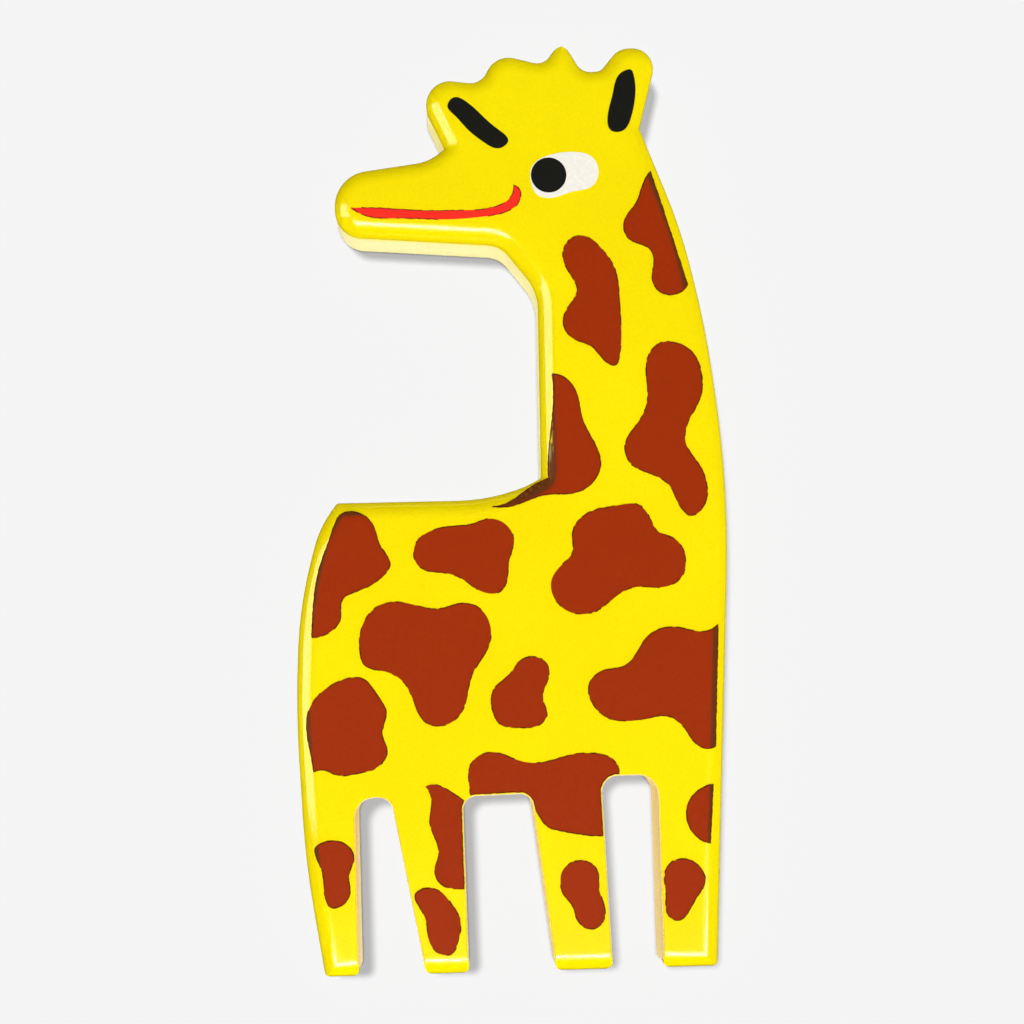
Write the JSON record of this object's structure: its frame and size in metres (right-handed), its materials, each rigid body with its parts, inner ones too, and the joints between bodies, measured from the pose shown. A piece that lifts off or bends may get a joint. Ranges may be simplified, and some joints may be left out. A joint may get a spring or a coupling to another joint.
{
  "type": "flat giraffe figure",
  "caption": "Flat giraffe figure cut from thick board, its front rounded over, lacquered and printed with patches, the raw back holding flush disc magnets.",
  "frame": {"origin": "middle of the bounding box at the foot ends", "axes": "+Z is the giraffe's height, the printed front faces -Y, the flat back faces +Y, and the snout points to -X"},
  "size_m": [0.0466, 0.0091, 0.0997],
  "materials": {
    "raw_board": "raw fibreboard, sanded",
    "yellow_lacquer": "glossy lacquer with fine orange peel",
    "brown_ink": "printed, satin gloss",
    "black_ink": "printed, satin gloss",
    "white_ink": "printed, satin gloss",
    "red_ink": "printed, satin gloss",
    "ferrite": "ground ferrite",
    "adhesive": "set hot-melt adhesive"
  },
  "bodies": {
    "root": {"board": "raw_board", "lacquer_coat": "yellow_lacquer", "magnet_upper": "ferrite", "magnet_lower": "ferrite", "glue_upper": "adhesive", "glue_lower": "adhesive", "patch_neck_rear": "brown_ink", "patch_neck_front": "brown_ink", "patch_neck_low": "brown_ink", "patch_throat": "brown_ink", "patch_rump_high": "brown_ink", "patch_back": "brown_ink", "patch_withers": "brown_ink", "patch_flank": "brown_ink", "patch_rump_low": "brown_ink", "patch_belly": "brown_ink", "patch_chest": "brown_ink", "patch_belly_low": "brown_ink", "patch_leg2_high": "brown_ink", "patch_leg2_low": "brown_ink", "patch_leg1": "brown_ink", "patch_leg3": "brown_ink", "patch_leg4_high": "brown_ink", "patch_leg4_low": "brown_ink", "ear_mark_left": "black_ink", "ear_mark_right": "black_ink", "pupil": "black_ink", "eye_white": "white_ink", "mouth": "red_ink"}
  },
  "joints": []
}
